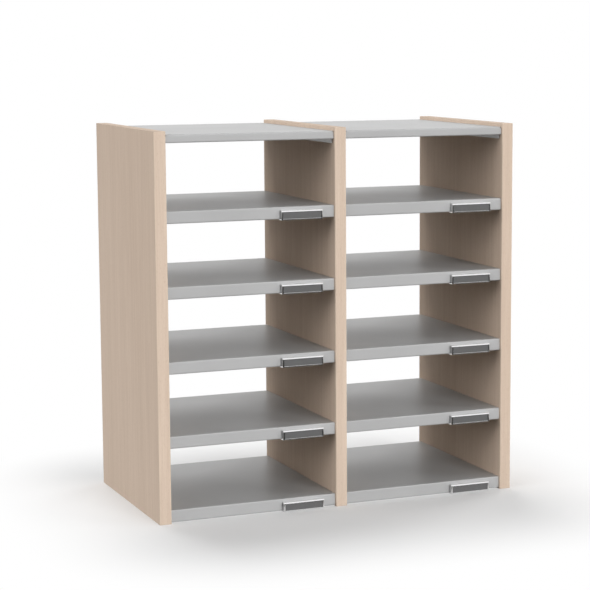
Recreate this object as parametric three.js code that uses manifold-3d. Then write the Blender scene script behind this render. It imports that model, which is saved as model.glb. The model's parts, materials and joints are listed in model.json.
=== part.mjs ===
// Pigeonhole mail sorter: three laminated uprights with two columns of folded sheet trays between them.
// Every tray lies on a pair of angle rails fixed to the uprights. The shelves' front lips carry clip-on
// label holders, each with a label strip that slides in its grooves.
// Millimetres, +Z up, the front faces -Y, the origin is on the floor at the middle of the footprint.

import * as THREE from 'three';
import { mergeVertices } from 'three/addons/utils/BufferGeometryUtils.js';
import Module from 'manifold-3d';

// Uprights
const uprightThickness = 25;
const uprightDepth = 408;
const uprightHeight = 784;
const uprightEdgeRadius = 2.5; // rounded lipping on the four long edges
const uprightEndChamfer = 0.6;
const uprightRise = 7; // how far the uprights stand above the top panels

// Columns and levels
const columnWidth = 356.5; // clear width between two uprights
const floorGap = 0.5; // below the lowest label holders
const sides = ['left', 'right'];
const shelfNumbers = [1, 2, 3, 4, 5]; // counted from the top down

// Folded trays
const sheetThickness = 1.2;
const bendRadius = 3; // outside radius of every fold
const hemDepth = 5; // edge turned inwards at the foot of each lip
const trayFrontSetback = 5; // tray front behind the uprights' front edges
const shelfBackSetback = 8; // shelf back in front of the uprights' back edges
const shelfLip = 25;
const panelLip = 16.5;
const notchMargin = 3; // side room between a back lip and the rails that it passes

// Rails
const railThickness = 2;
const railWidth = 20;
const railEndGap = 2; // between a rail's end and the hem of the nearest lip
const railBendRadius = 3.5;

// Label holders and strips
const holderLength = 90;
const holderDepth = 8; // from the lip's face to the holder's front
const holderSideMargin = 27.5; // from the right-hand upright to the holder
const holderDrop = 7; // holder's top edge below the shelf surface
const holderWall = 1.2; // back plate, tongue under the lip and hook behind it
const holderTopBorder = 3.5;
const holderBottomBorder = 2.4;
const holderFrontLip = 1; // wall in front of the strip
const holderEndWall = 3.5; // closed right end, and left end with a slit for the strip
const holderTopRadius = 3;
const holderFootRadius = 1;
const hookRise = 1.5; // hook above the hem that it holds
const grooveDepth = 1.2;
const stripThickness = 0.8;

// Clearances
const seatGap = 0.3; // between a piece and what carries it
const trayEndGap = 0.5; // between a tray's end and the upright
const stripClearance = 0.3; // around a strip in its grooves

const arcSteps = 5; // facets in a quarter turn

// Sizes that follow from those above
const levelCount = shelfNumbers.length;
const lowestLevel = floorGap + holderWall + seatGap + shelfLip;
const topLevel = uprightHeight - uprightRise;
const levelPitch = (topLevel - lowestLevel) / levelCount;
const uprightSpacing = columnWidth + uprightThickness;
const holderOverhang = Math.max(holderDepth - trayFrontSetback, 0);
const footprintCentre = (uprightDepth - holderOverhang) / 2;
const trayWidth = columnWidth - 2 * trayEndGap;
const shelfDepth = uprightDepth - trayFrontSetback - shelfBackSetback;
const panelDepth = uprightDepth - trayFrontSetback;
const railInset = hemDepth + railEndGap;
const railLength = shelfDepth - 2 * railInset;
const railTop = -sheetThickness - seatGap;
const railFoot = -shelfLip;

const materials = {
  laminate: new THREE.MeshStandardMaterial({ color: '#d8c5b2', roughness: 0.55, metalness: 0 }),
  greySheet: new THREE.MeshStandardMaterial({ color: '#b9b9b9', roughness: 0.5, metalness: 0.1 }),
  brightMetal: new THREE.MeshStandardMaterial({ color: '#c9c9cb', roughness: 0.25, metalness: 1 }),
  darkStrip: new THREE.MeshStandardMaterial({ color: '#626262', roughness: 0.4, metalness: 0 }),
};
Object.values(materials).forEach((material) => {
  material.flatShading = true;
});

const wasm = await Module();
wasm.setup();

// Only the positions count in a closed body, with shared corners merged.
function closed(geometry) {
  geometry.deleteAttribute('normal');
  geometry.deleteAttribute('uv');
  return mergeVertices(geometry);
}

function solidFrom(geometry) {
  const vertProperties = new Float32Array(geometry.getAttribute('position').array);
  const triVerts = new Uint32Array(geometry.index.array);
  return new wasm.Manifold(new wasm.Mesh({ numProp: 3, vertProperties, triVerts }));
}

function geometryFrom(solid) {
  const { vertProperties, triVerts } = solid.getMesh();
  const geometry = new THREE.BufferGeometry();
  geometry.setAttribute('position', new THREE.BufferAttribute(new Float32Array(vertProperties), 3));
  geometry.setIndex(new THREE.BufferAttribute(new Uint32Array(triVerts), 1));
  return geometry;
}

// An outline drawn in (y, z) becomes a body that runs along X, centred on x = 0.
function extrudeAlongX(outline, length) {
  const geometry = new THREE.ExtrudeGeometry(outline, { depth: length, bevelEnabled: false });
  const yAxis = new THREE.Vector3(0, 1, 0);
  const zAxis = new THREE.Vector3(0, 0, 1);
  const xAxis = new THREE.Vector3(1, 0, 0);
  geometry.translate(0, 0, -length / 2);
  geometry.applyMatrix4(new THREE.Matrix4().makeBasis(yAxis, zAxis, xAxis));
  return closed(geometry);
}

// An outline drawn in (x, z) becomes a body that runs back along Y from y = 0.
function extrudeAlongY(outline, length) {
  const geometry = new THREE.ExtrudeGeometry(outline, { depth: length, bevelEnabled: false });
  const xAxis = new THREE.Vector3(1, 0, 0);
  const zAxis = new THREE.Vector3(0, 0, 1);
  const forwards = new THREE.Vector3(0, -1, 0);
  geometry.translate(0, 0, -length);
  geometry.applyMatrix4(new THREE.Matrix4().makeBasis(xAxis, zAxis, forwards));
  return closed(geometry);
}

function boxBetween(low, high) {
  const size = high.clone().sub(low);
  const geometry = new THREE.BoxGeometry(size.x, size.y, size.z);
  geometry.translate((low.x + high.x) / 2, (low.y + high.y) / 2, (low.z + high.z) / 2);
  return closed(geometry);
}

// A line whose right-angled inner corners are rounded.
function roundedLine(corners, radius) {
  const line = [corners[0]];
  for (let i = 1; i < corners.length - 1; i += 1) {
    const arriving = corners[i].clone().sub(corners[i - 1]).normalize();
    const leaving = corners[i + 1].clone().sub(corners[i]).normalize();
    const centre = corners[i].clone().addScaledVector(arriving, -radius).addScaledVector(leaving, radius);
    for (let step = 0; step <= arcSteps; step += 1) {
      const angle = (step / arcSteps) * (Math.PI / 2);
      const point = centre.clone();
      point.addScaledVector(leaving, -radius * Math.cos(angle));
      point.addScaledVector(arriving, radius * Math.sin(angle));
      line.push(point);
    }
  }
  line.push(corners[corners.length - 1]);
  return line;
}

// The same line moved to its right-hand side.
function lineToTheRight(corners, distance) {
  const last = corners.length - 1;
  return corners.map((corner, i) => {
    const moved = corner.clone();
    const ends = [[i - 1, i], [i, i + 1]].filter(([from, to]) => from >= 0 && to <= last);
    ends.forEach(([from, to]) => {
      const along = corners[to].clone().sub(corners[from]).normalize();
      moved.add(new THREE.Vector2(along.y, -along.x).multiplyScalar(distance));
    });
    return moved;
  });
}

// Outline of a folded sheet, from the corners of its outer face. Every fold turns right.
function foldedSheet(corners, thickness, radius) {
  const outer = roundedLine(corners, radius);
  const inner = roundedLine(lineToTheRight(corners, thickness), radius - thickness);
  return new THREE.Shape([...outer, ...inner.reverse()]);
}

function points(pairs) {
  return pairs.map(([first, second]) => new THREE.Vector2(first, second));
}

function uprightGeometry() {
  const halfWidth = uprightThickness / 2;
  const corner = uprightEdgeRadius;
  const outline = new THREE.Shape();
  outline.moveTo(-halfWidth + corner, 0);
  outline.absarc(halfWidth - corner, corner, corner, -Math.PI / 2, 0);
  outline.absarc(halfWidth - corner, uprightDepth - corner, corner, 0, Math.PI / 2);
  outline.absarc(-halfWidth + corner, uprightDepth - corner, corner, Math.PI / 2, Math.PI);
  outline.absarc(-halfWidth + corner, corner, corner, Math.PI, 1.5 * Math.PI);
  const geometry = new THREE.ExtrudeGeometry(outline, {
    depth: uprightHeight - 2 * uprightEndChamfer,
    curveSegments: arcSteps,
    bevelSegments: 1,
    bevelThickness: uprightEndChamfer,
    bevelSize: uprightEndChamfer,
    bevelOffset: -uprightEndChamfer,
  });
  geometry.translate(0, 0, uprightEndChamfer);
  return closed(geometry);
}

// A tray has y = 0 at its front face and z = 0 at its surface.
function trayGeometry(depth, lip) {
  const outline = foldedSheet(points([
    [hemDepth, -lip],
    [0, -lip],
    [0, 0],
    [depth, 0],
    [depth, -lip],
    [depth - hemDepth, -lip],
  ]), sheetThickness, bendRadius);
  let tray = solidFrom(extrudeAlongX(outline, trayWidth));
  const notchWidth = railWidth + seatGap - trayEndGap + notchMargin;
  const past = notchMargin;
  for (const end of [-1, 1]) {
    const inside = end * (trayWidth / 2 - notchWidth);
    const outside = end * (trayWidth / 2 + past);
    const low = new THREE.Vector3(Math.min(inside, outside), depth - hemDepth - past, -lip - past);
    const high = new THREE.Vector3(Math.max(inside, outside), depth + past, -sheetThickness);
    tray = tray.subtract(solidFrom(boxBetween(low, high)));
  }
  return geometryFrom(tray);
}

// A rail's flat back is at x = 0 and its ledge reaches towards the middle of the column.
function railGeometry(inward) {
  const corners = points([[0, railFoot], [0, railTop], [railWidth, railTop]]);
  const outline = foldedSheet(corners, railThickness, railBendRadius);
  const turned = outline.getPoints().map((point) => new THREE.Vector2(point.x * inward, point.y));
  return extrudeAlongY(new THREE.Shape(turned), railLength);
}

// A holder and its strip share the shelf's frame: y = 0 at the lip's face, z = 0 at the shelf surface.
const holder = {};
holder.front = -holderDepth;
holder.back = -seatGap;
holder.plateFront = holder.back - holderWall;
holder.top = -holderDrop;
holder.tongueTop = -shelfLip - seatGap;
holder.bottom = holder.tongueTop - holderWall;
holder.windowTop = holder.top - holderTopBorder;
holder.windowBottom = holder.bottom + holderBottomBorder;
holder.grooveTop = holder.windowTop + grooveDepth;
holder.grooveBottom = holder.windowBottom - grooveDepth;
holder.slotFront = holder.front + holderFrontLip;
holder.slotBack = holder.slotFront + stripThickness + 2 * stripClearance;
holder.hookFront = hemDepth + seatGap;
holder.hookBack = holder.hookFront + holderWall;
holder.hookTop = -shelfLip + sheetThickness + hookRise;

function holderGeometry() {
  const { front, back, top, bottom, windowTop, windowBottom, slotFront, slotBack } = holder;
  const topCorner = roundedLine(points([[front, windowTop], [front, top], [back, top]]), holderTopRadius);
  const footCorner = roundedLine(
    points([[holder.hookBack, bottom], [front, bottom], [front, windowBottom]]),
    holderFootRadius,
  );
  const channel = new THREE.Shape([
    ...points([
      [holder.hookFront, holder.tongueTop],
      [holder.hookFront, holder.hookTop],
      [holder.hookBack, holder.hookTop],
    ]),
    ...footCorner,
    ...points([
      [slotFront, windowBottom],
      [slotFront, holder.grooveBottom],
      [slotBack, holder.grooveBottom],
      [slotBack, windowBottom],
      [holder.plateFront, windowBottom],
      [holder.plateFront, windowTop],
      [slotBack, windowTop],
      [slotBack, holder.grooveTop],
      [slotFront, holder.grooveTop],
      [slotFront, windowTop],
    ]),
    ...topCorner,
    new THREE.Vector2(back, holder.tongueTop),
  ]);
  const footLine = roundedLine(points([[back, bottom], [front, bottom], [front, windowBottom]]), holderFootRadius);
  const endOutline = new THREE.Shape([...footLine, ...topCorner]);
  const endWall = solidFrom(extrudeAlongX(endOutline, holderEndWall));
  const endCentre = (holderLength - holderEndWall) / 2;
  const leftEnd = -holderLength / 2;
  const slit = boxBetween(
    new THREE.Vector3(leftEnd - holderEndWall, slotFront, holder.grooveBottom),
    new THREE.Vector3(leftEnd + 2 * holderEndWall, slotBack, holder.grooveTop),
  );
  const open = solidFrom(extrudeAlongX(channel, holderLength));
  const closedEnds = open.add(endWall.translate([endCentre, 0, 0])).add(endWall.translate([-endCentre, 0, 0]));
  return geometryFrom(closedEnds.subtract(solidFrom(slit)));
}

function stripGeometry() {
  const leftEnd = -holderLength / 2;
  const rightEnd = holderLength / 2 - holderEndWall - stripClearance;
  const low = new THREE.Vector3(
    leftEnd,
    holder.slotFront + stripClearance,
    holder.grooveBottom + stripClearance,
  );
  const high = new THREE.Vector3(
    rightEnd,
    holder.slotBack - stripClearance,
    holder.grooveTop - stripClearance,
  );
  return boxBetween(low, high);
}

const geometries = {
  upright: uprightGeometry(),
  shelf: trayGeometry(shelfDepth, shelfLip),
  panel: trayGeometry(panelDepth, panelLip),
  railAtLeftEnd: railGeometry(1),
  railAtRightEnd: railGeometry(-1),
  holder: holderGeometry(),
  strip: stripGeometry(),
};

function addPiece(parent, name, geometry, material, x = 0, y = 0, z = 0) {
  const piece = new THREE.Mesh(geometry, material);
  piece.name = name;
  piece.position.set(x, y, z);
  parent.add(piece);
}

// The rail at the column's outer end is on an outer upright, the other one on the centre upright.
function addRails(level, side, name) {
  const back = columnWidth / 2 - seatGap;
  const [leftEnd, rightEnd] = side === 'left' ? ['outer', 'inner'] : ['inner', 'outer'];
  addPiece(level, `${name}_${leftEnd}`, geometries.railAtLeftEnd, materials.greySheet, -back, railInset);
  addPiece(level, `${name}_${rightEnd}`, geometries.railAtRightEnd, materials.greySheet, back, railInset);
}

function addShelf(column, side, number) {
  const level = new THREE.Group();
  level.position.z = topLevel - number * levelPitch;
  const holderCentre = columnWidth / 2 - holderSideMargin - holderLength / 2;
  addPiece(level, `${side}_shelf_${number}`, geometries.shelf, materials.greySheet);
  addPiece(level, `${side}_label_holder_${number}`, geometries.holder, materials.brightMetal, holderCentre);
  addPiece(level, `${side}_label_strip_${number}`, geometries.strip, materials.darkStrip, holderCentre);
  addRails(level, side, `${side}_shelf_rail_${number}`);
  column.add(level);
}

function addTopPanel(column, side) {
  const level = new THREE.Group();
  level.position.z = topLevel;
  addPiece(level, `${side}_top_panel`, geometries.panel, materials.greySheet);
  addRails(level, side, `${side}_top_rail`);
  column.add(level);
}

const sorter = new THREE.Group();
sorter.name = 'pigeonhole_mail_sorter';

const uprights = new THREE.Group();
uprights.position.y = -footprintCentre;
['left', 'centre', 'right'].forEach((place, i) => {
  addPiece(uprights, `${place}_upright`, geometries.upright, materials.laminate, (i - 1) * uprightSpacing);
});
sorter.add(uprights);

sides.forEach((side, i) => {
  const column = new THREE.Group();
  column.position.set((i - 0.5) * uprightSpacing, trayFrontSetback - footprintCentre, 0);
  addTopPanel(column, side);
  shelfNumbers.forEach((number) => addShelf(column, side, number));
  sorter.add(column);
});

export default sorter;
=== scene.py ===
"""Looks of a pigeonhole mail sorter: laminated uprights, folded trays on rails, label holders and strips."""

import json
from contextlib import contextmanager
from math import pi, radians

import bmesh
import bpy
from bpy.props import FloatProperty, FloatVectorProperty, IntProperty, PointerProperty
from mathutils import Matrix, Vector


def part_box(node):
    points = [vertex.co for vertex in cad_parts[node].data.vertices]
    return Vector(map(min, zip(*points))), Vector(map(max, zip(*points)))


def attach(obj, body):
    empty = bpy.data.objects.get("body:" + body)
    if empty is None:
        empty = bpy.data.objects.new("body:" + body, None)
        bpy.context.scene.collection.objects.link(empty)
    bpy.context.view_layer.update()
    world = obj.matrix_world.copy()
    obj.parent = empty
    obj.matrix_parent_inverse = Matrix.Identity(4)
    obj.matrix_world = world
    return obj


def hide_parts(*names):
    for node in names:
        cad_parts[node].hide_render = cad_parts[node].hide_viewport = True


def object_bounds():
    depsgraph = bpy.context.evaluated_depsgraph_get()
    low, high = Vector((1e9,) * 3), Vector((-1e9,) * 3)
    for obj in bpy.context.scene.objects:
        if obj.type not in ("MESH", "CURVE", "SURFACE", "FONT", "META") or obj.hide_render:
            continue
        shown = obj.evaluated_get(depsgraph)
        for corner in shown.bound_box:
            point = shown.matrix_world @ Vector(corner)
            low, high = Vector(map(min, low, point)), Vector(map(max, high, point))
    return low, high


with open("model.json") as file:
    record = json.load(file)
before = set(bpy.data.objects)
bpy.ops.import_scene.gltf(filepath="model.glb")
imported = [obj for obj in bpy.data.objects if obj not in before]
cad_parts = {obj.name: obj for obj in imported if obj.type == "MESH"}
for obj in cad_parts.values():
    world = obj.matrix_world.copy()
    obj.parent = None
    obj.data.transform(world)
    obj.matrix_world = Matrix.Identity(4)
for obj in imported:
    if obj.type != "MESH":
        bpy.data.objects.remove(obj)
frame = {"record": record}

bl_info = {
    "name": "Pigeonhole mail sorter",
    "version": (1, 0, 0),
    "blender": (4, 5, 0),
    "location": "View3D > Sidebar > Mail sorter",
    "description": "Builds the visible pieces of a pigeonhole mail sorter around its measured frame",
    "category": "Object",
}

CAD_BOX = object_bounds()

# Names that the frame gives
BODY_OF = {node: body for body, nodes in frame["record"]["behaviour"]["bodies"].items() for node in nodes}
UPRIGHTS = sorted(node for node in BODY_OF if node.endswith("_upright"))
TOP_PANELS = sorted(node for node in BODY_OF if node.endswith("_top_panel"))
HOLDERS = sorted(node for node in BODY_OF if "_label_holder_" in node)
STRIPS = sorted(node for node in BODY_OF if "_label_strip_" in node)
RAILS = sorted(node for node in BODY_OF if "_rail_" in node)
SHELVES = [holder.replace("label_holder", "shelf") for holder in HOLDERS]

TOUCH = 0.00002  # places closer than this count as one
SMOOTH_ANGLE = radians(35)

# Soft lamps far from the object: azimuth from +X, elevation, and how wide each one looks from there
LAMPS = {
    "front_lamp": (radians(285), radians(10), radians(26)),
    "left_front_lamp": (radians(210), radians(20), radians(30)),
    "left_lamp": (radians(180), radians(20), radians(30)),
    "left_back_lamp": (radians(120), radians(20), radians(30)),
    "back_lamp": (radians(90), radians(38), radians(40)),
    "right_back_lamp": (radians(30), radians(20), radians(30)),
    "right_front_lamp": (radians(330), radians(20), radians(30)),
}


def length(name, description, default):
    return FloatProperty(name=name, description=description, default=default, min=0.0, unit='LENGTH', precision=5)


def colour(name, description, default):
    return FloatVectorProperty(
        name=name, description=description, default=default, min=0.0, max=1.0, size=3, subtype='COLOR'
    )


def amount(name, description, default):
    return FloatProperty(name=name, description=description, default=default, min=0.0)


class SORTER_PG_boards(bpy.types.PropertyGroup):
    """Sizes and colours of the laminated uprights."""

    band: length("Edge band", "Thickness of the bands glued to the front and back edges", 0.003)
    edge_radius: length("Edge radius", "Rounding of the bands' long edges", 0.0025)
    end_chamfer: length("End chamfer", "Chamfer round the ends of a board", 0.0006)
    seam: length("Seam", "Small chamfer that shows where a band meets the board", 0.0002)
    pale: colour("Pale grain", "Beech between the grain lines", (0.70, 0.566, 0.459))
    dark: colour("Dark grain", "Beech along the grain lines", (0.624, 0.492, 0.391))
    fleck: colour("Fleck", "Short dark flecks in the beech", (0.48, 0.345, 0.24))


class SORTER_PG_trays(bpy.types.PropertyGroup):
    """Sizes and colours of the folded trays."""

    sheet: length("Sheet", "Thickness of the sheet", 0.0012)
    bend: length("Bend", "Outside radius of a fold", 0.003)
    hem: length("Hem", "Width of the edge turned inwards at the foot of a lip", 0.005)
    rail_room: length("Rail room", "Length cut off each end of the back lip, which passes the rails", 0.0228)
    relief: length("Corner relief", "Length cut from the ends of a top panel's front fold", 0.002)
    paint: colour("Paint", "Light grey powder coat", (0.475, 0.475, 0.475))
    worn_paint: colour("Worn paint", "Powder coat rubbed along the folds", (0.54, 0.54, 0.54))
    roughness: amount("Roughness", "Least roughness of the trays' coat", 0.285)


class SORTER_PG_rails(bpy.types.PropertyGroup):
    """Sizes of the angle rails and their screws."""

    sheet: length("Sheet", "Thickness of the rail", 0.002)
    bend: length("Bend", "Outside radius of the fold", 0.0035)
    screws: IntProperty(name="Screws", description="Wood screws in each rail", default=3, min=2)
    screw_margin: length("Screw margin", "From a rail's end to its first screw", 0.045)
    head_radius: length("Head radius", "Radius of a screw head", 0.0038)
    head_height: length("Head height", "Height of a screw head", 0.0024)
    zinc: colour("Zinc", "Plating of the screws", (0.56, 0.57, 0.58))
    roughness: amount("Roughness", "Least roughness of the rails' coat", 0.03)


class SORTER_PG_holders(bpy.types.PropertyGroup):
    """Sizes and colours of the label holders and their strips."""

    wall: length("Wall", "Back plate, tongue and hook", 0.0012)
    seat_gap: length("Seat gap", "Between the holder and the lip that it clips to", 0.0003)
    depth: length("Depth", "From the shelf's lip to the front of the holder", 0.008)
    top_border: length("Top border", "Height of the rounded upper border", 0.0035)
    foot_border: length("Foot border", "Height of the lower border", 0.0024)
    end_wall: length("End wall", "Thickness of both ends", 0.0035)
    front_lip: length("Front lip", "Wall in front of the strip", 0.001)
    slot: length("Slot", "Depth of the grooves that the strip slides in", 0.0014)
    groove: length("Groove", "Height of the grooves", 0.0012)
    slope_height: length("Slope height", "Height of the upper border's sloping face", 0.0027)
    slope_depth: length("Slope depth", "How far the upper border's face leans back", 0.0016)
    slope_round: length("Slope rounding", "Rounding above and below the sloping face", 0.0005)
    foot_radius: length("Foot radius", "Rounding of the lower border", 0.001)
    sill_slope: length("Sill slope", "Size of the chamfer on the window's front edge above the lower border", 0.0004)
    open_radius: length("Open end radius", "Rounding of the left end's front corner", 0.001)
    closed_radius: length("Closed end radius", "Rounding of the right end's front corner", 0.0026)
    edge_break: length("Edge break", "Small rounding of every other edge", 0.00015)
    strip_bow: length("Strip bow", "How far the middle of a strip stands forward of its edges", 0.0002)
    metal: colour("Metal", "Bright brushed metal", (0.95, 0.95, 0.955))
    strip: colour("Strip", "Bare dark label strip", (0.13, 0.13, 0.13))


class SORTER_PG_stage(bpy.types.PropertyGroup):
    """Floor, light and camera."""

    floor_size: length("Floor size", "Side of the square floor", 7.0)
    floor_front: length("Front floor", "How far in front of the object the floor keeps its full shadow", 0.12)
    floor_side: length("Side floor", "How far inside the object's sides the floor's shadow begins to fade", 0.1)
    floor_fade: length("Faded floor", "How much further away the floor is as white as the background", 0.40)
    floor_veil: amount("Floor veil", "Least share of white over the floor's shadow", 0.08)
    floor_under: amount("Floor underneath", "Share of white over the shadow right under the object", 0.55)
    floor_pale: colour("Floor", "White floor as the camera and reflections show it", (0.95, 0.95, 0.95))
    floor_bounce: colour("Floor bounce", "Floor as it lights the object", (0.13, 0.13, 0.13))
    front_lamp: amount("Front lamp", "Strength of the low soft light in front", 0.77)
    left_front_lamp: amount("Left front lamp", "Strength of the soft light in front, at the left", 0.22)
    left_lamp: amount("Left lamp", "Strength of the soft light at the left", 0.48)
    left_back_lamp: amount("Left back lamp", "Strength of the soft light behind, at the left", 0.09)
    back_lamp: amount("Back lamp", "Strength of the high soft light behind", 0.38)
    right_back_lamp: amount("Right back lamp", "Strength of the soft light behind, at the right", 0.40)
    right_front_lamp: amount("Right front lamp", "Strength of the soft light in front, at the right", 0.33)
    card_shade: amount("Dark card", "Lightness of the card in front of the object", 0.08)
    card_width: length("Card width", "Width of the dark card", 9.0)
    card_height: length("Card height", "Height of the dark card's far edge", 1.5)
    camera_place: FloatVectorProperty(
        name="Camera place", description="Where the photograph was taken from", size=3, subtype='TRANSLATION',
        unit='LENGTH', default=(-1.50056, -3.75406, 0.96699)
    )
    camera_turn: FloatVectorProperty(
        name="Camera turn", description="Direction of the photograph's view", size=3, subtype='EULER',
        default=(radians(82.2444), radians(0.162), radians(-23.3192))
    )
    camera_lens: amount("Lens", "Focal length in millimetres on a 36 mm sensor", 116.128)
    camera_shift: FloatProperty(name="Shift", description="Sideways shift of the photograph's frame", default=-0.1)


# Modelling with Blender's own tools

def begin(add, scale=(1, 1, 1), **settings):
    """Adds a primitive with nothing else selected, and puts its size and place into its mesh."""
    bpy.ops.object.select_all(action='DESELECT')
    add(**settings)
    bpy.context.object.scale = scale
    bpy.ops.object.transform_apply(location=True, rotation=True, scale=True)
    return bpy.context.object


def begin_box(low, high):
    low, high = Vector(low), Vector(high)
    return begin(bpy.ops.mesh.primitive_cube_add, size=1, location=(low + high) / 2, scale=high - low)


@contextmanager
def editing(piece):
    """Edit mode on one piece."""
    bpy.ops.object.select_all(action='DESELECT')
    piece.select_set(True)
    bpy.context.view_layer.objects.active = piece
    bpy.ops.object.mode_set(mode='EDIT')
    yield
    bpy.ops.object.mode_set(mode='OBJECT')


def pick(piece, kind, passes):
    """In edit mode, selects only the edges or faces that pass a test."""
    bpy.ops.mesh.select_mode(type=kind)
    bpy.ops.mesh.select_all(action='DESELECT')
    mesh = bmesh.from_edit_mesh(piece.data)
    for part in mesh.edges if kind == 'EDGE' else mesh.faces:
        if passes(part):
            part.select_set(True)
    mesh.select_flush_mode()
    bmesh.update_edit_mesh(piece.data)


def lies_at(part, x=None, y=None, z=None):
    """Whether every corner of an edge or face is at the given coordinates."""
    wanted = [(axis, place) for axis, place in enumerate((x, y, z)) if place is not None]
    return all(abs(vert.co[axis] - place) < TOUCH for vert in part.verts for axis, place in wanted)


def runs_along(edge, axis):
    step = edge.verts[1].co - edge.verts[0].co
    return abs(step[axis]) > 0.999 * step.length


def extrude(step):
    bpy.ops.mesh.extrude_region_move(TRANSFORM_OT_translate={"value": step})


def bevel(offset, segments):
    bpy.ops.mesh.bevel(offset=offset, offset_type='OFFSET', segments=segments, profile=0.5, affect='EDGES')


def cut_across(piece, axis, place):
    """Cuts every face of a piece along a plane, and keeps both sides."""
    point = [0, 0, 0]
    point[axis] = place
    normal = [0, 0, 0]
    normal[axis] = 1
    bpy.ops.mesh.select_all(action='SELECT')
    bpy.ops.mesh.bisect(plane_co=point, plane_no=normal)


def modify(piece, kind, **settings):
    """Adds a modifier and applies it."""
    modifier = piece.modifiers.new(kind.title(), kind)
    for name, value in settings.items():
        setattr(modifier, name, value)
    bpy.context.view_layer.objects.active = piece
    bpy.ops.object.modifier_apply(modifier=modifier.name)


def combine(piece, operation, tool):
    """Cuts a piece with another one, which is used up."""
    modify(piece, 'BOOLEAN', operation=operation, solver='EXACT', object=tool)
    bpy.data.objects.remove(tool)


def carve(piece, low, high):
    """Takes a box out of a piece."""
    combine(piece, 'DIFFERENCE', begin_box(low, high))


def weld(piece):
    """Merges the corners that a cut leaves on top of each other."""
    with editing(piece):
        bpy.ops.mesh.select_all(action='SELECT')
        bpy.ops.mesh.remove_doubles(threshold=TOUCH)


def smooth(piece):
    """Merges doubled corners, and shades the roundings without bending the flat faces."""
    weld(piece)
    bpy.ops.object.select_all(action='DESELECT')
    piece.select_set(True)
    bpy.context.view_layer.objects.active = piece
    bpy.ops.object.shade_smooth_by_angle(angle=SMOOTH_ANGLE)
    modify(piece, 'WEIGHTED_NORMAL', mode='FACE_AREA', weight=100, keep_sharp=True)


def copy_moved(piece, step):
    twin = piece.copy()
    twin.data = piece.data.copy()
    twin.data.transform(Matrix.Translation(step))
    bpy.context.scene.collection.objects.link(twin)
    return twin


def mark(piece, name, strength):
    """Writes a number from 0 to 1 for each corner of the mesh, which its finish reads."""
    values = piece.data.attributes.new(name, 'FLOAT', 'POINT')
    for vert, value in zip(piece.data.vertices, values.data):
        value.value = strength(vert.co)


def settle(piece, name, body, slot, *finishes):
    """Names a finished piece and gives it its finish and the body that it moves with."""
    piece.name = name
    piece.data.name = name
    piece.data.materials.clear()
    for finish in finishes:
        piece.data.materials.append(finish)
    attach(piece, body)
    return piece


def stand_for(piece, node, part_name, slot, *finishes):
    """Settles a piece in the place of a frame node."""
    settle(piece, f"{node}_{part_name}", BODY_OF[node], slot, *finishes)
    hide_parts(node)
    return piece


def like_pieces(nodes, make, part_name, slot, *finishes):
    """Models the first of some like nodes, and copies it to the places of the others."""
    model = make(nodes[0])
    first_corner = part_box(nodes[0])[0]
    for node in nodes[1:]:
        twin = copy_moved(model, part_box(node)[0] - first_corner)
        stand_for(twin, node, part_name, slot, *finishes)
    stand_for(model, nodes[0], part_name, slot, *finishes)


# Finishes

class Shade:
    """What a shader node gives, for use in sums and products."""

    def __init__(self, nodes, socket):
        self.nodes = nodes
        self.socket = socket

    def maths(self, operation, first, second):
        return self.nodes.node('ShaderNodeMath', {"operation": operation}, {0: first, 1: second})

    def __add__(self, other):
        return self.maths('ADD', self, other)

    def __radd__(self, other):
        return self.maths('ADD', other, self)

    def __sub__(self, other):
        return self.maths('SUBTRACT', self, other)

    def __rsub__(self, other):
        return self.maths('SUBTRACT', other, self)

    def __mul__(self, other):
        return self.maths('MULTIPLY', self, other)

    def __rmul__(self, other):
        return self.maths('MULTIPLY', other, self)

    def __pow__(self, other):
        return self.maths('POWER', self, other)

    def or_above(self, other):
        return self.maths('MAXIMUM', self, other)


class Nodes:
    """A node tree and the one way in which its nodes are made."""

    def __init__(self, tree):
        self.tree = tree

    def feed(self, socket, value):
        if isinstance(value, Shade):
            self.tree.links.new(value.socket, socket)
        else:
            socket.default_value = value

    def node(self, kind, settings=None, values=None, output=0):
        node = self.tree.nodes.new(kind)
        for name, value in (settings or {}).items():
            setattr(node, name, value)
        for name, value in (values or {}).items():
            self.feed(node.inputs[name], value)
        return Shade(self, node.outputs[output])

    def step(self, value, low, high):
        """Rises smoothly from 0 to 1 as a value goes from low to high."""
        values = {"Value": value, "From Min": low, "From Max": high}
        return self.node('ShaderNodeMapRange', {"interpolation_type": 'SMOOTHSTEP'}, values)

    def vector(self, operation, first, second=(0, 0, 0), output="Vector"):
        return self.node('ShaderNodeVectorMath', {"operation": operation}, {0: first, 1: second}, output)

    def seen(self):
        """1 where the camera sees a place directly, in a reflection or through glass, and 0 where it only lights."""
        rays = [self.node('ShaderNodeLightPath', output=f"Is {kind} Ray") for kind in ("Camera", "Glossy", "Transmission")]
        return rays[0].or_above(rays[1]).or_above(rays[2])


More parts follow.
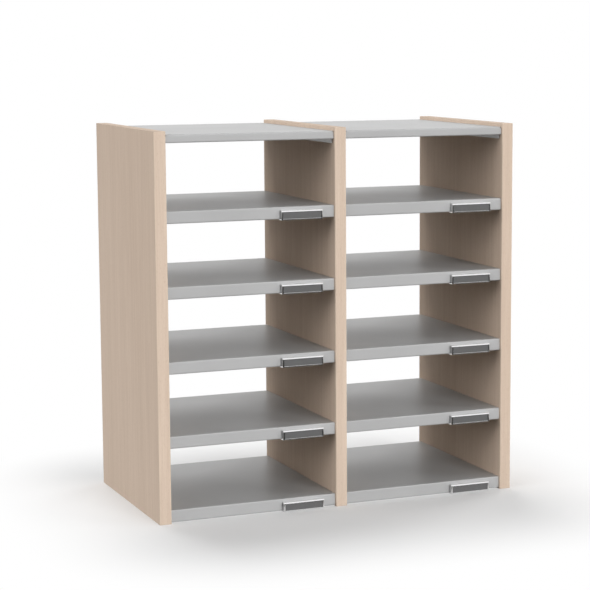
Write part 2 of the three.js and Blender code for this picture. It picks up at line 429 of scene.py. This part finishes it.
class Finish(Nodes):
    """A surface that is painted in Object coordinates."""

    def __init__(self, name):
        self.material = bpy.data.materials.new(name)
        self.material.use_nodes = True
        super().__init__(self.material.node_tree)
        self.surface = self.tree.nodes["Principled BSDF"]
        self.place = self.node('ShaderNodeTexCoord', output="Object")

    def noise(self, per_metre, detail=2.0, roughness=0.5):
        """Noise with that many features in a metre along X, Y and Z."""
        place = self.node('ShaderNodeMapping', None, {"Vector": self.place, "Scale": per_metre})
        values = {"Vector": place, "Scale": 1.0, "Detail": detail, "Roughness": roughness}
        return self.node('ShaderNodeTexNoise', None, values)

    def attribute(self, name):
        return self.node('ShaderNodeAttribute', {"attribute_name": name}, None, "Fac")

    def mix(self, factor, first, second):
        """A colour between two others."""
        first, second = (value if isinstance(value, Shade) else (*value, 1.0) for value in (first, second))
        return self.node('ShaderNodeMix', {"data_type": 'RGBA'}, {0: factor, 6: first, 7: second}, 2)

    def bump(self, height, depth, strength=1.0):
        values = {"Height": height, "Distance": depth, "Strength": strength}
        return self.node('ShaderNodeBump', None, values, "Normal")

    def set(self, **values):
        """Sets the surface shader's inputs, with _ for a space in their names."""
        for name, value in values.items():
            socket = self.surface.inputs[name.replace("_", " ")]
            self.feed(socket, (*value, 1.0) if isinstance(value, tuple) and len(value) == 3 else value)
        return self.material


def beech_finish(name, boards, grain_axis):
    """Pale beech laminate with fine grain along one axis."""
    def stretched(across, along):
        per_metre = [across, across, across]
        per_metre[grain_axis] = along
        return per_metre

    finish = Finish(name)
    tone = finish.noise(stretched(14, 0.9), 2.0)
    streak = finish.noise(stretched(120, 2.4), 4.0, 0.6)
    fibre = finish.noise(stretched(520, 11), 3.0, 0.6)
    fleck = finish.step(finish.noise(stretched(1300, 150), 1.0), 0.60, 0.72)
    worn = finish.attribute("edge")
    grain = tone * 0.25 + streak * 0.35 + fibre * 0.4
    grain_lines = finish.step(grain, 0.34, 0.66)
    beech = finish.mix(grain_lines, tuple(boards.pale), tuple(boards.dark))
    flecked = finish.mix(fleck * 0.35, beech, tuple(boards.fleck))
    rubbed = finish.mix(worn * (0.12 + streak * 0.16), flecked, (0.80, 0.68, 0.55))
    roughness = 0.55 + fibre * 0.1 - worn * 0.08
    pores = fibre * 0.6 + fleck * -0.5
    return finish.set(
        Base_Color=rubbed,
        Roughness=roughness,
        Normal=finish.bump(pores, 0.00012, 0.5),
        Specular_IOR_Level=0.07,
    )


def powder_coat_finish(name, trays, least_roughness):
    """Light grey powder coat with a fine orange-peel texture, rubbed along the folds."""
    finish = Finish(name)
    cloud = finish.noise((6, 6, 6), 3.0)
    speck = finish.noise((1400, 1400, 1400), 2.0, 0.6)
    peel = finish.noise((520, 520, 520), 2.0)
    scuff = finish.step(finish.noise((150, 22, 150), 4.0, 0.65), 0.62, 0.78)
    worn = finish.attribute("edge") * finish.step(finish.noise((70, 70, 70), 4.0, 0.6), 0.35, 0.7)
    paint = tuple(trays.paint)
    deeper = tuple(part * 0.93 for part in paint)
    clouded = finish.mix(finish.step(cloud, 0.3, 0.7), paint, deeper)
    specked = finish.mix(finish.step(speck, 0.55, 0.75) * 0.22, clouded, tuple(part * 0.72 for part in paint))
    rubbed = finish.mix(worn * 0.5, specked, tuple(trays.worn_paint))
    roughness = least_roughness + speck * 0.14 + (1 - scuff) * 0.06 - worn * 0.06
    return finish.set(
        Base_Color=rubbed,
        Roughness=roughness,
        Normal=finish.bump(peel * 0.7 + speck * 0.3, 0.00008, 0.6),
        Specular_IOR_Level=0.7,
    )


def brushed_finish(name, metal, across_scale, brush_axis):
    """Bright metal with brush lines along one axis."""
    finish = Finish(name)
    per_metre = [across_scale] * 3
    per_metre[brush_axis] = 18
    lines = finish.noise(per_metre, 3.0, 0.7)
    stain = finish.noise((90, 90, 90), 3.0)
    tint = finish.mix(stain, tuple(metal), tuple(part * 0.86 for part in metal))
    return finish.set(
        Base_Color=tint,
        Metallic=1.0,
        Roughness=0.12 + lines * 0.12 + stain * 0.05,
        Normal=finish.bump(lines, 0.00003, 0.5),
    )


def strip_finish(holders):
    """Bare dark strip with a satin face and a faint mottle."""
    finish = Finish("label_strip_dark")
    mottle = finish.noise((260, 260, 260), 4.0, 0.6)
    grain = finish.noise((1800, 1800, 1800), 2.0)
    strip = tuple(holders.strip)
    tint = finish.mix(mottle, tuple(part * 0.85 for part in strip), tuple(part * 1.15 for part in strip))
    return finish.set(
        Base_Color=tint,
        Roughness=0.34 + mottle * 0.12,
        Normal=finish.bump(grain, 0.00002, 0.6),
    )


# Pieces

def mark_edges(piece, low, high, reach):
    """Marks the corners that lie on the rounded long edges of an upright."""
    def on_edge(place):
        from_side = min(place.x - low.x, high.x - place.x)
        from_front = min(place.y - low.y, high.y - place.y)
        rounded = TOUCH < from_side < reach - TOUCH and TOUCH < from_front < reach - TOUCH
        return 1.0 if rounded else 0.0

    mark(piece, "edge", on_edge)


def make_board(node, boards):
    """The laminated board between an upright's two edge bands, its ends in a second finish."""
    low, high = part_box(node)
    low.y += boards.band
    high.y -= boards.band
    board = begin_box(low, high)
    with editing(board):
        pick(board, 'EDGE', lambda edge: runs_along(edge, 1))
        bevel(boards.end_chamfer, 2)
        pick(board, 'EDGE', lambda edge: lies_at(edge, y=low.y) or lies_at(edge, y=high.y))
        bevel(boards.seam, 1)
    for face in board.data.polygons:
        face.material_index = 1 if abs(face.normal.z) > 0.5 else 0
    mark_edges(board, low, high, 0.0)
    smooth(board)
    return board


def make_band(node, boards, at_front):
    """The band on an upright's front or back edge, with rounded outer edges."""
    low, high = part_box(node)
    outer = low.y if at_front else high.y
    inner = outer + boards.band if at_front else outer - boards.band
    start = Vector((low.x, min(outer, inner), low.z))
    end = Vector((high.x, max(outer, inner), high.z))
    band = begin_box(start, end)
    with editing(band):
        pick(band, 'EDGE', lambda edge: runs_along(edge, 2) and lies_at(edge, y=outer))
        bevel(boards.edge_radius, 5)
        pick(band, 'EDGE', lambda edge: not lies_at(edge, y=inner)
             and (lies_at(edge, z=low.z) or lies_at(edge, z=high.z)))
        bevel(boards.end_chamfer, 2)
        pick(band, 'EDGE', lambda edge: lies_at(edge, y=inner))
        bevel(boards.seam, 1)
    mark_edges(band, low, high, boards.edge_radius)
    smooth(band)
    return band


def make_tray(node, trays, relieved):
    """A sheet folded down at the front and back, with a hem at the foot of each lip."""
    low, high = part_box(node)
    lip = high.z - low.z
    middle = (low + high) / 2
    size = (high.x - low.x, high.y - low.y, 1)
    tray = begin(bpy.ops.mesh.primitive_plane_add, size=1, location=(middle.x, middle.y, high.z), scale=size)
    folds = [(y, z) for y in (low.y, high.y) for z in (low.z, high.z)]
    cut = {"back": trays.rail_room, "front": trays.relief}

    def past_cut(face, reach):
        x = face.calc_center_median().x
        return x < low.x + reach or x > high.x - reach

    def in_back_lip(face):
        place = face.calc_center_median()
        return place.y > high.y - trays.hem - TOUCH and place.z < high.z - TOUCH and past_cut(face, cut["back"])

    def in_front_fold(face):
        place = face.calc_center_median()
        return place.y < low.y + trays.bend and place.z > high.z - trays.bend and past_cut(face, cut["front"])

    with editing(tray):
        for y, inward in ((low.y, 1), (high.y, -1)):
            pick(tray, 'EDGE', lambda edge: lies_at(edge, y=y))
            extrude((0, 0, -lip))
            extrude((0, inward * trays.hem, 0))
        pick(tray, 'EDGE', lambda edge: any(lies_at(edge, y=y, z=z) for y, z in folds))
        bevel(trays.bend, 6)
        for reach in cut.values():
            cut_across(tray, 0, low.x + reach)
            cut_across(tray, 0, high.x - reach)
        pick(tray, 'FACE', in_back_lip)
        bpy.ops.mesh.delete(type='FACE')
        if relieved:
            pick(tray, 'FACE', in_front_fold)
            bpy.ops.mesh.delete(type='FACE')
        bpy.ops.mesh.select_all(action='SELECT')
        bpy.ops.mesh.normals_make_consistent(inside=False)
    flat = max(tray.data.polygons, key=lambda face: face.area)
    if flat.normal.z < 0:
        tray.data.flip_normals()
    modify(tray, 'SOLIDIFY', thickness=trays.sheet, offset=-1, use_even_offset=True)

    def on_fold(place):
        near_face = min(place.y - low.y, high.y - place.y)
        near_level = min(place.z - low.z, high.z - place.z)
        return 1.0 if near_face < trays.bend * 0.7 and near_level < trays.bend * 0.7 else 0.0

    mark(tray, "edge", on_fold)
    smooth(tray)
    return tray


def make_rail(node, rails):
    """An angle folded from sheet: a leg on the upright and a ledge under the tray."""
    low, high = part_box(node)
    toward = ledge_direction(node)
    back = low.x if toward > 0 else high.x
    middle = (low + high) / 2
    size = (high.x - low.x, high.y - low.y, 1)
    rail = begin(bpy.ops.mesh.primitive_plane_add, size=1, location=(middle.x, middle.y, high.z), scale=size)
    with editing(rail):
        pick(rail, 'EDGE', lambda edge: lies_at(edge, x=back))
        extrude((0, 0, low.z - high.z))
        pick(rail, 'EDGE', lambda edge: lies_at(edge, x=back, z=high.z))
        bevel(rails.bend, 5)
        bpy.ops.mesh.select_all(action='SELECT')
        bpy.ops.mesh.normals_make_consistent(inside=False)
    ledge = max(rail.data.polygons, key=lambda face: face.normal.z)
    if not any(face.normal.z > 0.9 for face in (ledge,)):
        rail.data.flip_normals()
    modify(rail, 'SOLIDIFY', thickness=rails.sheet, offset=-1, use_even_offset=True)
    mark(rail, "edge", lambda place: 1.0 if abs(place.x - back) < rails.bend * 0.7 and place.z > high.z - rails.bend * 0.7 else 0.0)
    smooth(rail)
    return rail


def ledge_direction(node):
    """1 where a rail's ledge reaches to the right of its upright, -1 where it reaches to the left."""
    side = node.split("_")[0]
    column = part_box(f"{side}_top_panel")
    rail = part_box(node)
    return 1 if rail[0].x + rail[1].x < column[0].x + column[1].x else -1


def make_screw(rails, turn):
    """A pan-head screw at the origin, its head turned from +Z, with a cross recess."""
    radius, height = rails.head_radius, rails.head_height
    head = begin(
        bpy.ops.mesh.primitive_cylinder_add, vertices=24, radius=radius, depth=height, location=(0, 0, height / 2)
    )
    with editing(head):
        pick(head, 'EDGE', lambda edge: lies_at(edge, z=height))
        bevel(height * 0.6, 3)
    slot_half = radius * 0.14
    reach = radius * 0.62
    carve(head, (-reach, -slot_half, height * 0.45), (reach, slot_half, height * 2))
    carve(head, (-slot_half, -reach, height * 0.45), (slot_half, reach, height * 2))
    head.data.transform(Matrix.Rotation(turn[0], 4, turn[1]))
    smooth(head)
    return head


def make_holder(node, holders):
    """A channel that hooks under the shelf's lip, with a closed right end and a slit through the left one."""
    low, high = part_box(node)
    back = low.y + holders.depth - holders.seat_gap
    window_top = high.z - holders.top_border
    window_foot = low.z + holders.foot_border
    inner_end = high.x - holders.end_wall
    slot_front = low.y + holders.front_lip
    slot_back = slot_front + holders.slot
    past = holders.depth
    rounded_ends = begin_box((low.x, low.y, low.z - past), (high.x, back, high.z + past))
    with editing(rounded_ends):
        pick(rounded_ends, 'EDGE', lambda edge: runs_along(edge, 2) and lies_at(edge, x=low.x, y=low.y))
        bevel(holders.open_radius, 4)
        pick(rounded_ends, 'EDGE', lambda edge: runs_along(edge, 2) and lies_at(edge, x=high.x, y=low.y))
        bevel(holders.closed_radius, 6)
    channel = begin_box(low, (high.x, back, high.z))
    with editing(channel):
        slope_foot = high.z - holders.slope_height
        cut_across(channel, 2, slope_foot)
        pick(channel, 'EDGE', lambda edge: runs_along(edge, 0) and lies_at(edge, y=low.y, z=high.z))
        bpy.ops.transform.translate(value=(0, holders.slope_depth, 0))
        bevel(holders.slope_round, 3)
        pick(channel, 'EDGE', lambda edge: runs_along(edge, 0) and lies_at(edge, y=low.y, z=slope_foot))
        bevel(holders.slope_round, 3)
        pick(channel, 'EDGE', lambda edge: runs_along(edge, 0) and lies_at(edge, y=low.y, z=low.z))
        bevel(holders.foot_radius, 3)
    combine(channel, 'INTERSECT', rounded_ends)
    with editing(channel):
        cut_across(channel, 2, low.z + holders.wall)
        pick(channel, 'FACE', lambda face: lies_at(face, y=back) and face.calc_center_median().z < low.z + holders.wall)
        extrude((0, high.y - holders.wall - back, 0))
        extrude((0, holders.wall, 0))
        pick(channel, 'FACE', lambda face: lies_at(face, z=low.z + holders.wall) and face.normal.z > 0.5
             and face.calc_center_median().y > high.y - holders.wall)
        extrude((0, 0, hook_height(holders)))
        bpy.ops.mesh.select_all(action='SELECT')
        bpy.ops.mesh.dissolve_limited(angle_limit=radians(1))
    window = begin_box(
        (low.x + holders.end_wall, low.y - past, window_foot), (inner_end, back - holders.wall, window_top)
    )
    with editing(window):
        cut_across(window, 1, low.y + holders.sill_slope)
        pick(window, 'EDGE', lambda edge: lies_at(edge, y=low.y - past, z=window_foot))
        bpy.ops.transform.translate(value=(0, 0, -past - holders.sill_slope))
    combine(channel, 'DIFFERENCE', window)
    carve(channel, (low.x - past, slot_front, window_foot - holders.groove), (inner_end, slot_back, window_top + holders.groove))
    weld(channel)
    modify(channel, 'BEVEL', width=holders.edge_break, segments=2, limit_method='ANGLE', angle_limit=radians(40))
    smooth(channel)
    return channel


def hook_height(holders):
    """How far the hook rises behind the hem of the lip."""
    return holders.seat_gap + 0.0012 + 0.0015


def make_strip(node, holders):
    """A thin strip bowed forward between its grooves."""
    low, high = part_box(node)
    middle = (low + high) / 2
    rows = 10
    strip = begin(
        bpy.ops.mesh.primitive_grid_add, x_subdivisions=1, y_subdivisions=rows, size=1,
        location=(middle.x, high.y, middle.z), rotation=(pi / 2, 0, 0), scale=(high.x - low.x, high.z - low.z, 1),
    )
    with editing(strip):
        for row in range(1, rows):
            share = row / rows
            level = low.z + share * (high.z - low.z)
            pick(strip, 'EDGE', lambda edge: lies_at(edge, z=level))
            forward = holders.strip_bow * 4 * share * (1 - share)
            bpy.ops.transform.translate(value=(0, -forward, 0))
    if strip.data.polygons[0].normal.y > 0:
        strip.data.flip_normals()
    modify(strip, 'SOLIDIFY', thickness=high.y - low.y, offset=1, use_even_offset=True)
    modify(strip, 'BEVEL', width=holders.edge_break, segments=2, limit_method='ANGLE', angle_limit=radians(50))
    smooth(strip)
    return strip


# Operators, one for each group of like pieces

class SORTER_OT_uprights(bpy.types.Operator):
    """Make the three uprights, each a laminated board with a band on its front and back edges."""

    bl_idname = "sorter.uprights"
    bl_label = "Uprights"

    def execute(self, context):
        boards = context.scene.sorter_boards
        upright_grain = beech_finish("beech_laminate", boards, 2)
        end_grain = beech_finish("beech_end_band", boards, 1)
        like_pieces(UPRIGHTS, lambda node: make_board(node, boards), "board", "laminate", upright_grain, end_grain)
        for place, at_front in (("front", True), ("back", False)):
            model = make_band(UPRIGHTS[0], boards, at_front)
            for node in UPRIGHTS[1:]:
                twin = copy_moved(model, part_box(node)[0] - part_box(UPRIGHTS[0])[0])
                settle(twin, f"{node}_{place}_band", BODY_OF[node], "laminate", upright_grain)
            settle(model, f"{UPRIGHTS[0]}_{place}_band", BODY_OF[UPRIGHTS[0]], "laminate", upright_grain)
        return {'FINISHED'}


class SORTER_OT_trays(bpy.types.Operator):
    """Fold the top panels and the shelves from sheet."""

    bl_idname = "sorter.trays"
    bl_label = "Trays"

    def execute(self, context):
        trays = context.scene.sorter_trays
        paint = powder_coat_finish("grey_powder_coat", trays, trays.roughness)
        like_pieces(TOP_PANELS, lambda node: make_tray(node, trays, True), "sheet", "grey_sheet", paint)
        like_pieces(SHELVES, lambda node: make_tray(node, trays, False), "sheet", "grey_sheet", paint)
        return {'FINISHED'}


class SORTER_OT_rails(bpy.types.Operator):
    """Fold the angle rails and put in their screws."""

    bl_idname = "sorter.rails"
    bl_label = "Rails and screws"

    def execute(self, context):
        rails = context.scene.sorter_rails
        paint = powder_coat_finish("smooth_powder_coat", context.scene.sorter_trays, rails.roughness)
        zinc = brushed_finish("zinc_screws", rails.zinc, 700, 2)
        for toward in (1, -1):
            alike = [node for node in RAILS if ledge_direction(node) == toward]
            like_pieces(alike, lambda node: make_rail(node, rails), "angle", "grey_sheet", paint)
            sideways = make_screw(rails, (toward * pi / 2, 'Y'))
            upwards = make_screw(rails, (pi, 'X'))
            for node in alike:
                self.drive_screws(node, toward, rails, sideways, upwards, zinc)
            bpy.data.objects.remove(sideways)
            bpy.data.objects.remove(upwards)
        return {'FINISHED'}

    def drive_screws(self, node, toward, rails, sideways, upwards, zinc):
        """Screws into the upright, and up into the tray where that is fixed."""
        low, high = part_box(node)
        leg_face = low.x + rails.sheet if toward > 0 else high.x - rails.sheet
        middle = (low + high) / 2
        span = high.y - low.y - 2 * rails.screw_margin
        heads = []
        for i in range(rails.screws):
            y = low.y + rails.screw_margin + span * i / (rails.screws - 1)
            heads.append(copy_moved(sideways, (leg_face, y, middle.z - rails.sheet)))
        holds_fixed_tray = "_top_rail_" in node or BODY_OF[node.rsplit("_", 1)[0].replace("_rail", "")] == BODY_OF[node]
        if holds_fixed_tray:
            for y in (low.y + rails.screw_margin * 2, high.y - rails.screw_margin * 2):
                heads.append(copy_moved(upwards, (middle.x, y, high.z - rails.sheet)))
        bpy.ops.object.select_all(action='DESELECT')
        for head in heads:
            head.select_set(True)
        bpy.context.view_layer.objects.active = heads[0]
        bpy.ops.object.join()
        settle(heads[0], f"{node}_screws", BODY_OF[node], "bright_metal", zinc)


class SORTER_OT_label_holders(bpy.types.Operator):
    """Make the label holders on the shelves' front lips."""

    bl_idname = "sorter.label_holders"
    bl_label = "Label holders"

    def execute(self, context):
        holders = context.scene.sorter_holders
        metal = brushed_finish("bright_brushed_metal", holders.metal, 1500, 0)
        like_pieces(HOLDERS, lambda node: make_holder(node, holders), "channel", "bright_metal", metal)
        return {'FINISHED'}


class SORTER_OT_label_strips(bpy.types.Operator):
    """Make the bare strips that slide in the label holders."""

    bl_idname = "sorter.label_strips"
    bl_label = "Label strips"

    def execute(self, context):
        holders = context.scene.sorter_holders
        dark = strip_finish(holders)
        like_pieces(STRIPS, lambda node: make_strip(node, holders), "strip", "label_strip", dark)
        return {'FINISHED'}


class SORTER_OT_stage(bpy.types.Operator):
    """Lay the floor, light it and set the camera."""

    bl_idname = "sorter.stage"
    bl_label = "Floor, light and camera"

    def execute(self, context):
        stage = context.scene.sorter_stage
        context.scene.view_settings.view_transform = 'Standard'
        self.lay_floor(stage)
        self.light_world(context.scene)
        self.hang_lamps(context.scene, stage)
        self.lean_card(stage)
        self.place_camera(context.scene, stage)
        return {'FINISHED'}

    def lay_floor(self, stage):
        """A pale floor that keeps the shadow near the object and is as white as the background far away."""
        floor = begin(bpy.ops.mesh.primitive_plane_add, size=stage.floor_size, location=(0, 0, 0))
        floor.name = "floor"
        finish = Finish("pale_floor")
        seen = finish.seen()
        low, high = CAD_BOX
        middle = Vector(((low.x + high.x) / 2, (low.y + high.y - stage.floor_front) / 2, 0))
        reach = Vector(((high.x - low.x) / 2 - stage.floor_side, (high.y - low.y + stage.floor_front) / 2, 0))
        aside = finish.vector('ABSOLUTE', finish.vector('SUBTRACT', finish.place, middle))
        outside = finish.vector('MAXIMUM', finish.vector('SUBTRACT', aside, reach), (0, 0, 0))
        distance = finish.vector('LENGTH', outside, output="Value")
        far = finish.step(distance, 0.0, stage.floor_fade) * (1 - stage.floor_veil) + stage.floor_veil
        white_share = far.or_above(self.underneath(finish) * stage.floor_under)
        mottle = finish.noise((3, 3, 3), 2.0)
        tint = finish.mix(seen, tuple(stage.floor_bounce), tuple(stage.floor_pale))
        finish.set(Base_Color=tint, Roughness=0.55 + mottle * 0.05, Specular_IOR_Level=0.0)
        white = finish.node('ShaderNodeEmission', None, {"Color": (1, 1, 1, 1), "Strength": 1.0})
        surface = Shade(finish, finish.surface.outputs["BSDF"])
        both = finish.node('ShaderNodeMixShader', None, {0: white_share * seen, 1: surface, 2: white})
        finish.feed(finish.tree.nodes["Material Output"].inputs["Surface"], both)
        floor.data.materials.append(finish.material)

    def underneath(self, finish):
        """1 on the floor under the shelves and 0 round them."""
        low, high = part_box(SHELVES[-1])
        other_low, other_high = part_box(SHELVES[0])
        first = Vector((min(low.x, other_low.x), low.y, 0))
        last = Vector((max(high.x, other_high.x), high.y, 0))
        aside = finish.vector('ABSOLUTE', finish.vector('SUBTRACT', finish.place, (first + last) / 2))
        inside = finish.vector('SUBTRACT', (last - first) / 2, aside)
        along, across = (finish.node('ShaderNodeSeparateXYZ', None, {0: inside}, axis) for axis in "XY")
        return finish.step(along, 0.0, 0.002) * finish.step(across, 0.0, 0.002)

    def light_world(self, scene):
        """A white background for the camera and for reflections, which lights nothing."""
        world = bpy.data.worlds.new("studio")
        world.use_nodes = True
        world.cycles.sampling_method = 'NONE'
        scene.world = world
        backdrop = Nodes(world.node_tree)
        background = world.node_tree.nodes["Background"]
        background.inputs["Color"].default_value = (1, 1, 1, 1)
        backdrop.feed(background.inputs["Strength"], backdrop.seen())

    def hang_lamps(self, scene, stage):
        """Soft lamps that light the object and do not show in its reflections."""
        for name, (azimuth, elevation, width) in LAMPS.items():
            light = bpy.data.lights.new(name, 'SUN')
            light.energy = pi * getattr(stage, name)
            light.angle = width
            lamp = bpy.data.objects.new(name, light)
            lamp.rotation_euler = (pi / 2 - elevation, 0, azimuth + pi / 2)
            lamp.visible_glossy = False
            scene.collection.objects.link(lamp)

    def lean_card(self, stage):
        """A dark card that leans away from the object's foot, and shows only as the dark side of bright metal."""
        foot, head = Vector((0, -0.25, 0.003)), Vector((0, -5.2, stage.card_height))
        slope = (head - foot).to_track_quat('Y', 'Z').to_euler()
        size = (stage.card_width, (head - foot).length, 1)
        card = begin(bpy.ops.mesh.primitive_plane_add, size=1, location=(foot + head) / 2, rotation=slope, scale=size)
        card.name = "dark_card"
        finish = Finish("dark_card_felt")
        nap = finish.noise((40, 40, 40), 3.0)
        shade = stage.card_shade
        tint = finish.mix(nap, (shade, shade, shade), (shade * 1.2, shade * 1.2, shade * 1.2))
        finish.set(Base_Color=tint, Roughness=0.9, Specular_IOR_Level=0.0)
        card.data.materials.append(finish.material)
        card.visible_camera = False
        card.visible_diffuse = False
        card.visible_shadow = False

    def place_camera(self, scene, stage):
        camera = bpy.data.objects.new("camera", bpy.data.cameras.new("camera"))
        camera.location = stage.camera_place
        camera.rotation_euler = stage.camera_turn
        camera.data.sensor_width = 36
        camera.data.lens = stage.camera_lens
        camera.data.shift_x = stage.camera_shift
        scene.collection.objects.link(camera)
        scene.camera = camera


class SORTER_PT_pieces(bpy.types.Panel):
    """Lists the sorter's groups of pieces."""

    bl_label = "Mail sorter"
    bl_idname = "SORTER_PT_pieces"
    bl_space_type = 'VIEW_3D'
    bl_region_type = 'UI'
    bl_category = "Mail sorter"

    def draw(self, context):
        for operator in OPERATORS:
            self.layout.operator(operator.bl_idname)


SETTINGS = {
    "sorter_boards": SORTER_PG_boards,
    "sorter_trays": SORTER_PG_trays,
    "sorter_rails": SORTER_PG_rails,
    "sorter_holders": SORTER_PG_holders,
    "sorter_stage": SORTER_PG_stage,
}
OPERATORS = (
    SORTER_OT_uprights,
    SORTER_OT_trays,
    SORTER_OT_rails,
    SORTER_OT_label_holders,
    SORTER_OT_label_strips,
    SORTER_OT_stage,
)


def register():
    for name, group in SETTINGS.items():
        bpy.utils.register_class(group)
        setattr(bpy.types.Scene, name, PointerProperty(type=group))
    for cls in (*OPERATORS, SORTER_PT_pieces):
        bpy.utils.register_class(cls)


def unregister():
    for cls in (SORTER_PT_pieces, *reversed(OPERATORS)):
        bpy.utils.unregister_class(cls)
    for name, group in SETTINGS.items():
        delattr(bpy.types.Scene, name)
        bpy.utils.unregister_class(group)


def main():
    register()
    bpy.ops.sorter.uprights()
    bpy.ops.sorter.trays()
    bpy.ops.sorter.rails()
    bpy.ops.sorter.label_holders()
    bpy.ops.sorter.label_strips()
    bpy.ops.sorter.stage()


if __name__ == "__main__":
    main()
